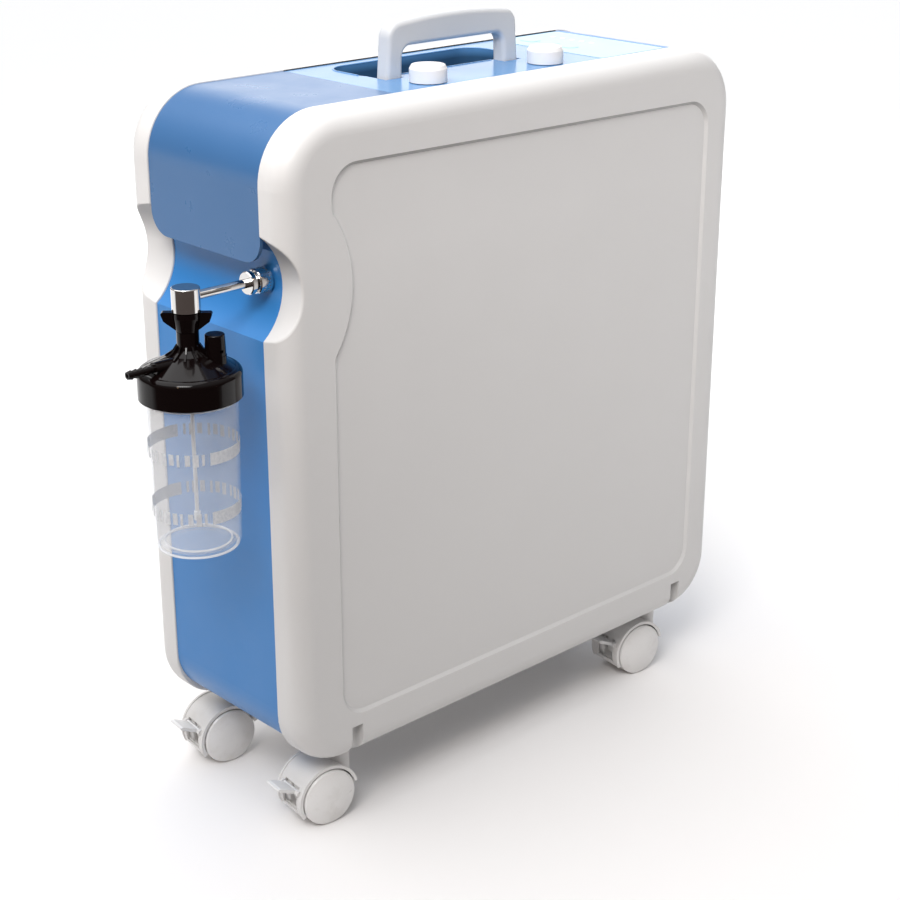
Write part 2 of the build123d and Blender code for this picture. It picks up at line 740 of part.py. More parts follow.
with BuildPart() as humidifier_lid:
    with BuildSketch(Plane.XZ.offset(-bottle_y)):
        with BuildLine():
            Polyline(
                (bottle_x, lid_bottom + 18),
                (bottle_x + jar_neck_radius + 0.6, lid_bottom + 18),
                (bottle_x + jar_neck_radius + 0.6, lid_bottom),
                (bottle_x + lid_radius, lid_bottom),
                (bottle_x + lid_radius, lid_shoulder - 4),
            )
            shoulder_start = (bottle_x + lid_radius, lid_shoulder - 4)
            shoulder_end = (bottle_x + lid_radius - 5, lid_shoulder + 1.5)
            shoulder_mid = (bottle_x + lid_radius - 1.3, lid_shoulder - 0.2)
            ThreePointArc(shoulder_start, shoulder_mid, shoulder_end)
            Polyline(
                shoulder_end,
                (bottle_x + neck_radius + 5, lid_neck_base - 1),
                (bottle_x + neck_radius, lid_neck_base + 3),
                (bottle_x + neck_radius, neck_top),
                (bottle_x + 4.3, neck_top),
                (bottle_x + 4.3, neck_top + 4.5),
                (bottle_x + 6.8, neck_top + 4.5),
                (bottle_x + 6.8, neck_top + 6.5),
                (bottle_x, neck_top + 6.5),
                (bottle_x, lid_bottom + 18),
            )
        make_face()
    revolve(axis=Axis((bottle_x, bottle_y, 0), (0, 0, 1)))
    nozzle_back = bottle_y - 14
    nozzle_tip = front_y - nozzle_reach
    rod((bottle_x, nozzle_back, nozzle_z), (0, -1, 0), 18, 5)
    rod((bottle_x, nozzle_back, nozzle_z), (0, -1, 0), nozzle_back - nozzle_tip, 2.9)
    for barb in range(4):
        barb_y = nozzle_tip + 4.6 * barb
        with BuildSketch(Plane(origin=(bottle_x, barb_y, nozzle_z), z_dir=(0, 1, 0))):
            Circle(2.9)
        extrude(amount=3.4, taper=-13)
    rod((bottle_x, nozzle_tip - 1, nozzle_z), (0, 1, 0), 60, 1.5, mode=Mode.SUBTRACT)
    inner_bottom = lid_bottom + 17
    rod((bottle_x, bottle_y, inner_bottom), (0, 0, 1), neck_top + 8 - inner_bottom, 1.6, mode=Mode.SUBTRACT)
    relief_centre = (bottle_x + relief_offset[0], bottle_y + relief_offset[1])
    seat_foot = lid_bottom + 19
    rod((*relief_centre, seat_foot), (0, 0, 1), relief_bottom + 2 - seat_foot, relief_radius + 0.4)
    rod((*relief_centre, relief_bottom), (0, 0, 1), 20, relief_radius, mode=Mode.SUBTRACT)
save(humidifier_lid, "humidifier_lid")

with BuildPart() as relief_cap:
    with BuildSketch(Plane.XY.offset(relief_bottom)):
        with Locations(relief_centre):
            Circle(relief_radius)
    extrude(amount=relief_top - relief_bottom, taper=1.5)
    fillet(relief_cap.edges().filter_by(GeomType.CIRCLE).group_by(Axis.Z)[-1], 1.2)
    with BuildSketch(Plane.XZ.offset(-relief_centre[1])):
        with Locations((relief_centre[0], relief_bottom + 6)):
            Rectangle(30, 2.2)
    extrude(amount=1.5, both=True, mode=Mode.SUBTRACT)
save(relief_cap, "relief_cap")

with BuildPart() as humidifier_jar:
    with BuildSketch(Plane.XZ.offset(-bottle_y)):
        corner = 6.0
        with BuildLine():
            Polyline(
                (bottle_x, jar_bottom + 1.5),
                (bottle_x + jar_bottom_radius - 9, jar_bottom + 1.5),
                (bottle_x + jar_bottom_radius - 8, jar_bottom),
                (bottle_x + jar_bottom_radius - corner, jar_bottom),
            )
            ThreePointArc(
                (bottle_x + jar_bottom_radius - corner, jar_bottom),
                (bottle_x + jar_bottom_radius - 0.3 * corner, jar_bottom + 0.3 * corner),
                (bottle_x + jar_bottom_radius, jar_bottom + corner),
            )
            Polyline(
                (bottle_x + jar_bottom_radius, jar_bottom + corner),
                (bottle_x + jar_top_radius, lid_bottom - 0.5),
                (bottle_x + jar_neck_radius, lid_bottom),
                (bottle_x + jar_neck_radius, jar_neck_top),
                (bottle_x + jar_neck_radius - jar_wall, jar_neck_top),
                (bottle_x + jar_neck_radius - jar_wall, lid_bottom - 2),
                (bottle_x + jar_bottom_radius - jar_wall, jar_bottom + corner),
            )
            Polyline(
                (bottle_x + jar_bottom_radius - jar_wall, jar_bottom + corner),
                (bottle_x + jar_bottom_radius - jar_wall - 3, jar_bottom + corner - 3),
                (bottle_x, jar_bottom + corner - 3),
                (bottle_x, jar_bottom + 1.5),
            )
        make_face()
    revolve(axis=Axis((bottle_x, bottle_y, 0), (0, 0, 1)))
save(humidifier_jar, "humidifier_jar")

with BuildPart() as lid_gasket:
    with BuildSketch(Plane.XY.offset(jar_neck_top + 0.4)):
        with Locations((bottle_x, bottle_y)):
            Circle(jar_neck_radius)
            Circle(jar_neck_radius - 4, mode=Mode.SUBTRACT)
    extrude(amount=lid_bottom + 18 - jar_neck_top - 0.4)
save(lid_gasket, "lid_gasket")

with BuildPart() as dip_tube:
    dip_top = lid_bottom + 17.9
    rod((bottle_x, bottle_y, dip_end), (0, 0, 1), dip_top - dip_end, 1.6)
    rod((bottle_x, bottle_y, dip_end), (0, 0, 1), 7, 2.6)
    rod((bottle_x, bottle_y, dip_top - 5), (0, 0, 1), 5, 3.4)
    rod((bottle_x, bottle_y, dip_end + 2), (0, 0, 1), 200, 0.9, mode=Mode.SUBTRACT)
save(dip_tube, "dip_tube")

# ================= castors =================
# One castor is drawn about its swivel axis, trailing towards -Y, and then placed four times.

axle_origin = (0, -caster_trail, wheel_radius)
pivot_y = -caster_trail + lever_pivot_radius * cos(radians(lever_pivot_angle))
pivot_z = wheel_radius + lever_pivot_radius * sin(radians(lever_pivot_angle))


def arc_wedge(start_angle, end_angle, reach):
    """Draw a wedge about the axle, from one angle to another, and keep what lies in it."""
    steps = 5
    span = end_angle - start_angle
    corners = [(0, 0)]
    for step in range(steps + 1):
        turn = radians(start_angle + span * step / steps)
        corners.append((reach * cos(turn), reach * sin(turn)))
    Polygon(*corners, align=None, mode=Mode.INTERSECT)


def draw_hood_arc(outer_radius):
    """Draw the castor hood's arched section about the axle."""
    with Locations((-caster_trail, wheel_radius)):
        Circle(outer_radius)
        Circle(hood_inner_radius, mode=Mode.SUBTRACT)
        arc_wedge(14, 206, 60)


with BuildPart() as caster_hood:
    rod((0, 0, 26), (0, 0, 1), boss_top - 26, boss_radius)
    chamfer(caster_hood.faces().sort_by(Axis.Z)[-1].edges(), 1)
    rod((-25, -caster_trail, wheel_radius), (1, 0, 0), 50, hood_inner_radius, mode=Mode.SUBTRACT)
    with BuildSketch(Plane.YZ.offset(-hood_half_width)):
        draw_hood_arc(hood_outer_radius)
    extrude(amount=2 * hood_half_width)
    with BuildSketch(Plane.YZ.offset(-hood_half_width)):
        draw_hood_arc(hood_lip_radius)
    extrude(amount=2.2)
    with BuildSketch(Plane.YZ.offset(hood_half_width)):
        draw_hood_arc(hood_lip_radius)
    extrude(amount=-2.2)
    with BuildSketch(Plane.YZ.offset(-3.8)):
        with Locations((-caster_trail, wheel_radius)):
            Circle(hood_inner_radius + 0.5)
            arc_wedge(0, 190, 60)
            Circle(8)
    extrude(amount=7.6)
    box_between(
        (-lever_half_width - 0.6, -60, wheel_radius - 8),
        (lever_half_width + 0.6, -caster_trail - 21, wheel_radius + 14),
        mode=Mode.SUBTRACT,
    )
    for ear_x in (-lever_half_width - 3.6, lever_half_width + 0.6):
        rod((ear_x, pivot_y, pivot_z), (1, 0, 0), 3, 2.7)
    pin_space = 1.4 + running_clearance
    rod((-13.2, pivot_y, pivot_z), (1, 0, 0), 26.4, pin_space, mode=Mode.SUBTRACT)
    rod((-20, -caster_trail, wheel_radius), (1, 0, 0), 40, axle_radius, mode=Mode.SUBTRACT)
    rod((0, 0, stem_bottom - 0.5), (0, 0, 1), 40, stem_radius + running_clearance, mode=Mode.SUBTRACT)

with BuildPart() as caster_wheel:
    bore = axle_radius + running_clearance
    with BuildSketch(Plane(axle_origin)):
        with BuildLine():
            Polyline(
                (wheel_outer_x + wheel_dome, wheel_hub_flat),
                (wheel_outer_x + wheel_dome, 0),
                (16.6, 0),
                (16.6, bore),
                (wheel_inner_x, bore),
                (wheel_inner_x, 9),
                (wheel_inner_x + 1.4, 10),
                (wheel_inner_x + 1.4, wheel_radius - 1.2),
                (wheel_inner_x + 2.6, wheel_radius),
                (wheel_outer_x - 1.2, wheel_radius),
                (wheel_outer_x, wheel_radius - 1.1),
            )
            ThreePointArc(
                (wheel_outer_x, wheel_radius - 1.1),
                (wheel_outer_x + 0.76 * wheel_dome, wheel_radius / 2),
                (wheel_outer_x + wheel_dome, wheel_hub_flat),
            )
        make_face()
    revolve(axis=Axis(axle_origin, (1, 0, 0)))

with BuildPart() as caster_axle:
    rod((-16.4, -caster_trail, wheel_radius), (1, 0, 0), 32.8, axle_radius)

with BuildPart() as brake_lever:
    rod((-lever_half_width, pivot_y, pivot_z), (1, 0, 0), 2 * lever_half_width, 2.3)
    up_turn = radians(lever_up_angle)
    tab_plane = Plane(
        origin=(0, pivot_y, pivot_z),
        x_dir=(0, cos(up_turn), sin(up_turn)),
        z_dir=(1, 0, 0),
    )
    with BuildSketch(tab_plane.offset(-lever_half_width + 1)):
        Polygon((0, -1.5), (17, -1.5), (19, -0.4), (19, 0.8), (17, 1.5), (0, 1.5), align=None)
    extrude(amount=2 * lever_half_width - 2)
    rod((-13, pivot_y, pivot_z), (1, 0, 0), 26, 1.4)

for corner, centre in caster_centres.items():
    placed = Location((centre[0], centre[1], 0), (0, 0, caster_turn))
    with BuildPart() as hood:
        add(caster_hood.part.moved(placed))
    save(hood, f"caster_hood_{corner}")
    with BuildPart() as outer_wheel:
        add(caster_wheel.part.moved(placed))
    save(outer_wheel, f"caster_wheel_{corner}_a")
    with BuildPart() as inner_wheel:
        add(mirror(caster_wheel.part, about=Plane.YZ, mode=Mode.PRIVATE).moved(placed))
    save(inner_wheel, f"caster_wheel_{corner}_b")
    with BuildPart() as axle:
        add(caster_axle.part.moved(placed))
    save(axle, f"caster_axle_{corner}")
    with BuildPart() as lever:
        add(brake_lever.part.moved(placed))
    save(lever, f"brake_lever_{corner}")

with BuildPart() as caster_stems:
    for centre in caster_centres.values():
        rod((*centre, stem_bottom), (0, 0, 1), 45, stem_radius)
        rod((*centre, boss_top + 0.6), (0, 0, 1), underside - boss_top - 0.6, 12)
save(caster_stems, "caster_stems")

# ================= chassis and inner parts =================

with BuildPart() as chassis:
    box_between((-tray_half_width, base_front, underside), (tray_half_width, base_rear, tray_top))
    for side_sign in (-1, 1):
        edges = sorted((side_sign * flange_x, side_sign * (flange_x + 2)))
        box_between((edges[0], base_front, tray_top), (edges[1], base_rear, lug_bottom + 2))
        for screw_y in screw_ys:
            lug = sorted((side_sign * flange_x, side_sign * lug_end))
            box_between((lug[0], screw_y - 8, lug_bottom), (lug[1], screw_y + 8, lug_bottom + 2))
    for centre in caster_centres.values():
        rod((*centre, tray_top), (0, 0, 1), 14, 9)
        rod((*centre, underside), (0, 0, 1), 30, stem_radius, mode=Mode.SUBTRACT)
    box_between((0, front_y + 50, tray_top), (2, front_y + 455, bulkhead_top))
    box_between(
        (-1, front_y + 60, tray_top),
        (3, front_y + 280, fan_bottom + 38),
        mode=Mode.SUBTRACT,
    )
    shelf_half = fan_size / 2 + 2
    box_between((-shelf_half, front_y + 59, fan_bottom - 2), (shelf_half, front_y + 281, fan_bottom))
    rod((0, fan_y, fan_bottom - 5), (0, 0, 1), 10, 57, mode=Mode.SUBTRACT)
    with BuildSketch(Plane.XY.offset(lug_bottom - 1)):
        with Locations(*[(x, y) for x in (-screw_x, screw_x) for y in screw_ys]):
            Circle(2.0)
    extrude(amount=5, mode=Mode.SUBTRACT)
save(chassis, "chassis")

with BuildPart() as case_screws:
    for screw_sign in (-1, 1):
        for screw_y in screw_ys:
            head = (screw_sign * screw_x, screw_y, lug_bottom - 9.8)
            rod(head, (0, 0, 1), 2.8, 3.2)
            rod(head, (0, 0, 1), 14, 2.0)
save(case_screws, "case_screws")

foot_z = tray_top + 18
with BuildPart() as compressor_mounts:
    for mount_x in (-42, 42):
        for mount_y in (fan_y - 55, fan_y + 55):
            rod((mount_x, mount_y, tray_top), (0, 0, 1), 18, 11)
save(compressor_mounts, "compressor_mounts")

with BuildPart() as compressor:
    box_between((-54, fan_y - 68, foot_z), (54, fan_y + 68, foot_z + 6))
    rod((0, fan_y - 64, foot_z + 56), (0, 1, 0), 128, 48)
    for head_y in (fan_y - 40, fan_y + 40):
        box_between((-30, head_y - 22, foot_z + 50), (30, head_y + 22, foot_z + 138))
        for fin in range(5):
            fin_z = foot_z + 106 + 6 * fin
            box_between((-35, head_y - 26, fin_z), (35, head_y + 26, fin_z + 2.4))
    rod((30, fan_y, foot_z + 120), (-1, 0, 0), 60, 9)
    box_between((-12, fan_y - 20, foot_z + 112), (12, fan_y + 20, foot_z + 128))
save(compressor, "compressor")

with BuildPart() as fan_frame:
    box_between(
        (-fan_size / 2, fan_y - fan_size / 2, fan_bottom),
        (fan_size / 2, fan_y + fan_size / 2, fan_bottom + 25),
    )
    fillet(fan_frame.edges().filter_by(Axis.Z), 6)
    rod((0, fan_y, fan_bottom - 1), (0, 0, 1), 30, 57, mode=Mode.SUBTRACT)
    rod((0, fan_y, fan_bottom), (0, 0, 1), 3, 20)
    for strut_turn in (45, 135):
        with BuildSketch(Plane.XY.offset(fan_bottom)):
            with Locations((0, fan_y)):
                Rectangle(2 * 60, 5, rotation=strut_turn)
        extrude(amount=3)
    rod((0, fan_y, fan_bottom), (0, 0, 1), 20, 3)
save(fan_frame, "fan_frame")

with BuildPart() as fan_rotor:
    rod((0, fan_y, fan_bottom + 4), (0, 0, 1), 19, 20)
    fillet(fan_rotor.edges().filter_by(GeomType.CIRCLE).group_by(Axis.Z)[-1], 2)
    for blade in range(7):
        blade_turn = radians(360 / 7 * blade)
        blade_plane = Plane(
            origin=(18 * cos(blade_turn), fan_y + 18 * sin(blade_turn), fan_bottom + 13.5),
            x_dir=(-0.8 * sin(blade_turn), 0.8 * cos(blade_turn), 0.6),
            z_dir=(cos(blade_turn), sin(blade_turn), 0),
        )
        with BuildSketch(blade_plane):
            Rectangle(22, 1.8)
        extrude(amount=35)
    rod((0, fan_y, fan_bottom + 2), (0, 0, 1), 18.5, 3 + running_clearance, mode=Mode.SUBTRACT)
save(fan_rotor, "fan_rotor")


def build_column(centre_x, bottom, height):
    """Upright pressure vessel with rounded ends and a port on top."""
    with BuildPart() as column:
        rod((centre_x, column_y, bottom), (0, 0, 1), height, column_radius)
        fillet(column.edges().filter_by(GeomType.CIRCLE), 10)
        rod((centre_x, column_y, bottom + height - 1), (0, 0, 1), 9, 8)
    return column


save(build_column(-column_radius, tray_top, 300), "sieve_column_left")
save(build_column(column_radius + 2, tray_top, 300), "sieve_column_right")

with BuildPart() as product_tank:
    rod((-32, column_y, 410), (0, 0, 1), 130, 32)
    fillet(product_tank.edges().filter_by(GeomType.CIRCLE), 12)
    rod((-32, column_y, 400), (0, 0, 1), 12, 5)
save(product_tank, "product_tank")

with BuildPart() as valve_block:
    box_between((2, column_y - 34, 392), (60, column_y + 34, 424))
    for solenoid_y in (column_y - 20, column_y + 20):
        rod((32, solenoid_y, 424), (0, 0, 1), 28, 11)
        rod((32, solenoid_y, 424), (0, 0, 1), 33, 4)
save(valve_block, "valve_block")

with BuildPart() as control_board:
    board_front = front_y + 90
    box_between((10, board_front, 330), (11.6, board_front + 150, 480))
    for post_y in (board_front + 8, board_front + 142):
        for post_z in (338, 472):
            rod((2, post_y, post_z), (1, 0, 0), 8, 3)
    box_between((11.6, board_front + 14, 345), (40, board_front + 52, 385))
    for capacitor in range(3):
        rod((11.6, board_front + 70 + 18 * capacitor, 360), (1, 0, 0), 20, 7)
    box_between((11.6, board_front + 60, 400), (15, board_front + 90, 430))
    box_between((11.6, board_front + 104, 440), (22, board_front + 140, 452))
save(control_board, "control_board")

with BuildPart() as exhaust_muffler:
    muffler_y = front_y + 86
    rod((-45, muffler_y, tray_top + 20), (1, 0, 0), 90, 20)
    fillet(exhaust_muffler.edges().filter_by(GeomType.CIRCLE), 5)
    rod((20, muffler_y, tray_top + 38), (0, 0, 1), 14, 5)
save(exhaust_muffler, "exhaust_muffler")
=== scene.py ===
import json
import math

import bmesh
import bpy
from mathutils import Matrix, Vector


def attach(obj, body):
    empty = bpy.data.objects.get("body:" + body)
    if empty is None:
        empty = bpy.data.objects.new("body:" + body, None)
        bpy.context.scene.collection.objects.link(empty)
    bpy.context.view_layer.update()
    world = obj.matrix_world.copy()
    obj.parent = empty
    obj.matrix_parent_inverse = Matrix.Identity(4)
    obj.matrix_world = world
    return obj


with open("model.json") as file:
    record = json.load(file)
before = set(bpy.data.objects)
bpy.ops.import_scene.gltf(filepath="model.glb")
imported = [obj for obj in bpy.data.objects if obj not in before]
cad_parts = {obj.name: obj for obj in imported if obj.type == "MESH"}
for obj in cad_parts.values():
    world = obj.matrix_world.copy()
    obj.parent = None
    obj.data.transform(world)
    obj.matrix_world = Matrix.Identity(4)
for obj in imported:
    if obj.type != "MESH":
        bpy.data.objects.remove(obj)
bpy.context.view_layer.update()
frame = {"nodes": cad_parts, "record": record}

# ---- camera and light ----
CAMERA_PLACE = (1.13576, -1.00565, 0.86409)
CAMERA_FORWARD = (-0.68024, 0.63664, -0.36327)
CAMERA_LENS = 73.36
SENSOR_WIDTH = 36.0

FLOOR_HALF = 12.0
# Painted shadow on the floor fades out between these distances from the casing.
PAINTED_SHADOW_NEAR = 0.45
PAINTED_SHADOW_FAR = 1.5
SWEEP_DIRECTION = (0.73, -0.683, 0.0)
SWEEP_START = 0.34
SWEEP_END = 0.62

NODES = frame["nodes"]
MM = 0.001


class Maker:
    """A node material: a principled shader with helpers that add the nodes feeding it."""

    def __init__(self, name):
        self.material = bpy.data.materials.new(name)
        self.material.use_nodes = True
        self.tree = self.material.node_tree
        self.tree.nodes.clear()
        self.output = self.add("ShaderNodeOutputMaterial")
        self.shader = self.add("ShaderNodeBsdfPrincipled")
        self.link(self.shader.outputs["BSDF"], self.output.inputs["Surface"])
        self.place = self.add("ShaderNodeTexCoord").outputs["Object"]

    def add(self, kind, **values):
        node = self.tree.nodes.new(kind)
        for key, value in values.items():
            setattr(node, key, value)
        return node

    def link(self, output, target):
        self.tree.links.new(output, target)

    def set(self, **values):
        """Set constants on the shader's own sockets; underscores stand for spaces."""
        for key, value in values.items():
            self.shader.inputs[key.replace("_", " ")].default_value = value

    def scaled(self, stretch):
        """The object's coordinates, stretched along each axis."""
        mapping = self.add("ShaderNodeMapping")
        mapping.inputs["Scale"].default_value = stretch
        self.link(self.place, mapping.inputs["Vector"])
        return mapping.outputs["Vector"]

    def noise(self, size, detail=3.0, rough=0.55, stretch=None, distortion=0.0):
        """Noise whose blotches are about size millimetres across."""
        node = self.add("ShaderNodeTexNoise")
        node.inputs["Scale"].default_value = 1000.0 / size
        node.inputs["Detail"].default_value = detail
        node.inputs["Roughness"].default_value = rough
        node.inputs["Distortion"].default_value = distortion
        self.link(self.scaled(stretch) if stretch else self.place, node.inputs["Vector"])
        return node.outputs["Fac"]

    def cells(self, size, feature="F1", stretch=None):
        """Cells about size millimetres across."""
        node = self.add("ShaderNodeTexVoronoi", feature=feature)
        node.inputs["Scale"].default_value = 1000.0 / size
        self.link(self.scaled(stretch) if stretch else self.place, node.inputs["Vector"])
        return node.outputs["Distance"]

    def span(self, value, low, high, out_low, out_high):
        """Map a value from one range to another, held at its ends."""
        node = self.add("ShaderNodeMapRange")
        node.inputs["From Min"].default_value = low
        node.inputs["From Max"].default_value = high
        node.inputs["To Min"].default_value = out_low
        node.inputs["To Max"].default_value = out_high
        self.link(value, node.inputs["Value"])
        return node.outputs["Result"]

    def mix(self, factor, first, second):
        """Blend two colours, each a colour or another node's output."""
        node = self.add("ShaderNodeMix", data_type="RGBA")
        self.link(factor, node.inputs["Factor"])
        sockets = [s for s in node.inputs if s.type == "RGBA"]
        for value, socket in zip((first, second), sockets):
            if isinstance(value, tuple):
                socket.default_value = (*value[:3], 1.0)
            else:
                self.link(value, socket)
        return [s for s in node.outputs if s.type == "RGBA"][0]

    def bump(self, height, depth, normal=None):
        """Bump of about depth millimetres."""
        node = self.add("ShaderNodeBump")
        node.inputs["Strength"].default_value = 1.0
        node.inputs["Distance"].default_value = depth * MM
        self.link(height, node.inputs["Height"])
        if normal is not None:
            self.link(normal, node.inputs["Normal"])
        return node.outputs["Normal"]

    def colour(self, output):
        self.link(output, self.shader.inputs["Base Color"])

    def roughness(self, output):
        self.link(output, self.shader.inputs["Roughness"])

    def normal(self, output):
        self.link(output, self.shader.inputs["Normal"])


def shade(colour, factor):
    return tuple(c * factor for c in colour)


def moulded(name, colour, rough=(0.32, 0.42), vary=0.04, grain=0.5, depth=0.012, wave=0.05, dust=0.0,
            painted_under_shade=1.0, foot=1.0, painted_well_shade=1.0):
    """Moulded plastic: faint blotches, a fine grain, a little waviness and rubbed patches.

    Dust adds dark blotches at random. The three factors after it paint shade: the first darkens the faces
    that look down, the second the lowest part of the object, the third what lies below the top plate.
    """
    m = Maker(name)
    blotch = m.span(m.noise(90, 4), 0.3, 0.7, 0.0, 1.0)
    base = m.mix(blotch, shade(colour, 1 - vary), shade(colour, 1 + vary * 0.6))
    speck = m.span(m.noise(1.6, 2), 0.62, 0.78, 0.0, 0.5)
    base = m.mix(speck, base, shade(colour, 1 - 2 * vary))
    if dust:
        low = m.span(m.noise(26, 5, 0.65), 0.52, 0.75, 0.0, dust)
        base = m.mix(low, base, (0.42, 0.39, 0.35))
    # Painted shade: faces that look down are darkened, standing in for the shade that falls on them.
    if painted_under_shade < 1.0:
        facing = m.add("ShaderNodeSeparateXYZ")
        m.link(m.add("ShaderNodeTexCoord").outputs["Normal"], facing.inputs["Vector"])
        painted_downward_shade = m.span(facing.outputs["Z"], -0.62, -0.12, 1.0, 0.0)
        base = m.mix(painted_downward_shade, base, shade(colour, painted_under_shade))
    level = m.add("ShaderNodeSeparateXYZ")
    m.link(m.place, level.inputs["Vector"])
    # Painted shade: the lowest part of the object is darkened, standing in for the shade near the floor.
    if foot < 1.0:
        painted_low_shade = m.span(level.outputs["Z"], 0.08, 0.50, 1.0, 0.0)
        base = m.mix(painted_low_shade, base, shade(colour, foot))
    # Painted shade: what lies below the top plate, the handle pocket, is darkened as the recess's shade.
    if painted_well_shade < 1.0:
        painted_pocket_shade = m.span(level.outputs["Z"], 0.598, 0.605, 1.0, 0.0)
        base = m.mix(painted_pocket_shade, base, shade(colour, painted_well_shade))
    m.colour(base)
    rub = m.noise(38, 5, 0.62)
    m.roughness(m.span(rub, 0.3, 0.7, rough[0], rough[1]))
    wavy = m.bump(m.noise(45, 1), wave)
    m.normal(m.bump(m.noise(grain, 2, 0.6), depth, wavy))
    return m


def metal(name, colour, rough=(0.08, 0.16), grain=0.4, depth=0.002, stretch=None):
    """Metal with fine marks, stretched along the direction it was worked in."""
    m = Maker(name)
    m.set(Metallic=1.0)
    tint = m.span(m.noise(14, 4), 0.3, 0.7, 0.0, 1.0)
    m.colour(m.mix(tint, shade(colour, 0.93), colour))
    m.roughness(m.span(m.noise(5, 5, 0.65, stretch), 0.3, 0.7, rough[0], rough[1]))
    m.normal(m.bump(m.noise(grain, 3, 0.6, stretch), depth))
    return m


MATERIALS = {}


def keep(slot, maker):
    MATERIALS[slot] = maker.material
    return maker


# Painted shade on the shell: darker on faces that look down and towards its foot.
keep("shell_white", moulded("shell_white", (0.86, 0.848, 0.838), (0.34, 0.46), 0.012, 0.45, 0.010, 0.10,
                            painted_under_shade=0.52, foot=0.70))
# Painted shade on the panel: darker towards its foot.
keep("panel_blue", moulded("panel_blue", (0.034, 0.245, 0.640), (0.34, 0.44), 0.03, 0.45, 0.012, 0.06,
                           foot=0.70))
keep("hood_blue", moulded("hood_blue", (0.056, 0.170, 0.385), (0.26, 0.34), 0.015, 0.45, 0.005, 0.02))
# Painted shade on the top plate: darker below its top, in the handle pocket.
keep("plate_blue", moulded("plate_blue", (0.110, 0.300, 0.600), (0.18, 0.26), 0.010, 0.45, 0.004, 0.05,
                           painted_well_shade=0.34))
keep("membrane", moulded("membrane", (0.50, 0.72, 0.80), (0.34, 0.42), 0.03, 0.30, 0.003, 0.03))
keep("handle_grey", moulded("handle_grey", (0.72, 0.73, 0.75), (0.34, 0.44), 0.04, 0.40, 0.012, 0.04))
keep("knob_white", moulded("knob_white", (0.96, 0.95, 0.96), (0.26, 0.34), 0.03, 0.40, 0.006, 0.03))
keep("grille_grey", moulded("grille_grey", (0.45, 0.46, 0.48), (0.42, 0.52), 0.05, 0.40, 0.015, 0.04))
keep("caster_grey", moulded("caster_grey", (0.66, 0.65, 0.64), (0.30, 0.42), 0.05, 0.40, 0.010, 0.04, 0.25))
keep("wheel_grey", moulded("wheel_grey", (0.73, 0.72, 0.71), (0.26, 0.38), 0.05, 0.40, 0.010, 0.04, 0.30))
keep("lever_grey", moulded("lever_grey", (0.72, 0.715, 0.71), (0.30, 0.42), 0.05, 0.40, 0.010, 0.04, 0.20))
keep("cap_black", moulded("cap_black", (0.0045, 0.0022, 0.0022), (0.06, 0.11), 0.10, 0.60, 0.004, 0.03)).set(
    Specular_IOR_Level=0.24)
keep("black_plastic", moulded("black_plastic", (0.020, 0.020, 0.021), (0.45, 0.58), 0.10, 0.40, 0.020, 0.03))
keep("rocker_plastic", moulded("rocker_plastic", (0.016, 0.016, 0.017), (0.20, 0.30), 0.10, 0.40, 0.008,
                               0.02))
keep("muffler_black", moulded("muffler_black", (0.022, 0.022, 0.022), (0.50, 0.62), 0.12, 0.60, 0.025, 0.05))
keep("rubber_black", moulded("rubber_black", (0.018, 0.018, 0.018), (0.62, 0.75), 0.15, 0.50, 0.020, 0.04,
                             0.15))
keep("tank_white", moulded("tank_white", (0.70, 0.70, 0.67), (0.40, 0.50), 0.04, 0.60, 0.015, 0.10))
keep("chrome_plate", metal("chrome_plate", (0.80, 0.78, 0.76), (0.04, 0.10), 0.5, 0.001))
keep("steel", metal("steel", (0.56, 0.57, 0.58), (0.22, 0.34), 0.3, 0.003, (1.0, 1.0, 0.15)))
keep("zinc_sheet", metal("zinc_sheet", (0.60, 0.61, 0.62), (0.30, 0.48), 0.6, 0.004, (1.0, 0.2, 1.0)))
keep("brass_valve", metal("brass_valve", (0.72, 0.53, 0.24), (0.20, 0.32), 0.3, 0.003, (1.0, 1.0, 0.2)))
keep("brass_plain", metal("brass_plain", (0.72, 0.53, 0.24), (0.22, 0.34), 0.3, 0.003, (1.0, 0.2, 1.0)))
keep("cast_alloy", metal("cast_alloy", (0.55, 0.56, 0.57), (0.42, 0.58), 1.2, 0.060))
keep("column_alloy", metal("column_alloy", (0.66, 0.67, 0.68), (0.26, 0.38), 0.4, 0.004, (1.0, 1.0, 0.1)))


def build_board_material():
    """Circuit board: green lacquer with a faint track pattern."""
    m = Maker("board_green")
    tracks = m.span(m.cells(6, "DISTANCE_TO_EDGE"), 0.02, 0.05, 1.0, 0.0)
    m.colour(m.mix(tracks, (0.012, 0.115, 0.045), (0.030, 0.210, 0.080)))
    m.roughness(m.span(m.noise(8, 3), 0.3, 0.7, 0.22, 0.36))
    m.normal(m.bump(tracks, 0.03))
    return m


def build_foam_material():
    """Open-celled filter foam."""
    m = Maker("filter_foam")
    pores = m.cells(1.3)
    m.colour(m.mix(m.span(pores, 0.1, 0.7, 0.0, 1.0), (0.008, 0.008, 0.009), (0.045, 0.045, 0.048)))
    m.roughness(m.span(pores, 0.0, 1.0, 0.8, 0.95))
    m.normal(m.bump(pores, 0.5))
    return m


def build_clear_material(name, tint, rough, cover):
    """Clear moulded plastic with a slight haze and flow marks; cover is how milky one surface is."""
    m = Maker(name)
    haze = m.span(m.noise(16, 4), 0.3, 0.7, 0.0, 1.0)
    m.colour(m.mix(haze, shade(tint, 0.97), tint))
    m.roughness(m.span(m.noise(11, 4, 0.6), 0.3, 0.7, rough[0], rough[1]))
    m.normal(m.bump(m.noise(9, 2, 0.5, (1.0, 1.0, 0.4)), 0.015))
    m.set(IOR=1.46, Alpha=cover)
    return m


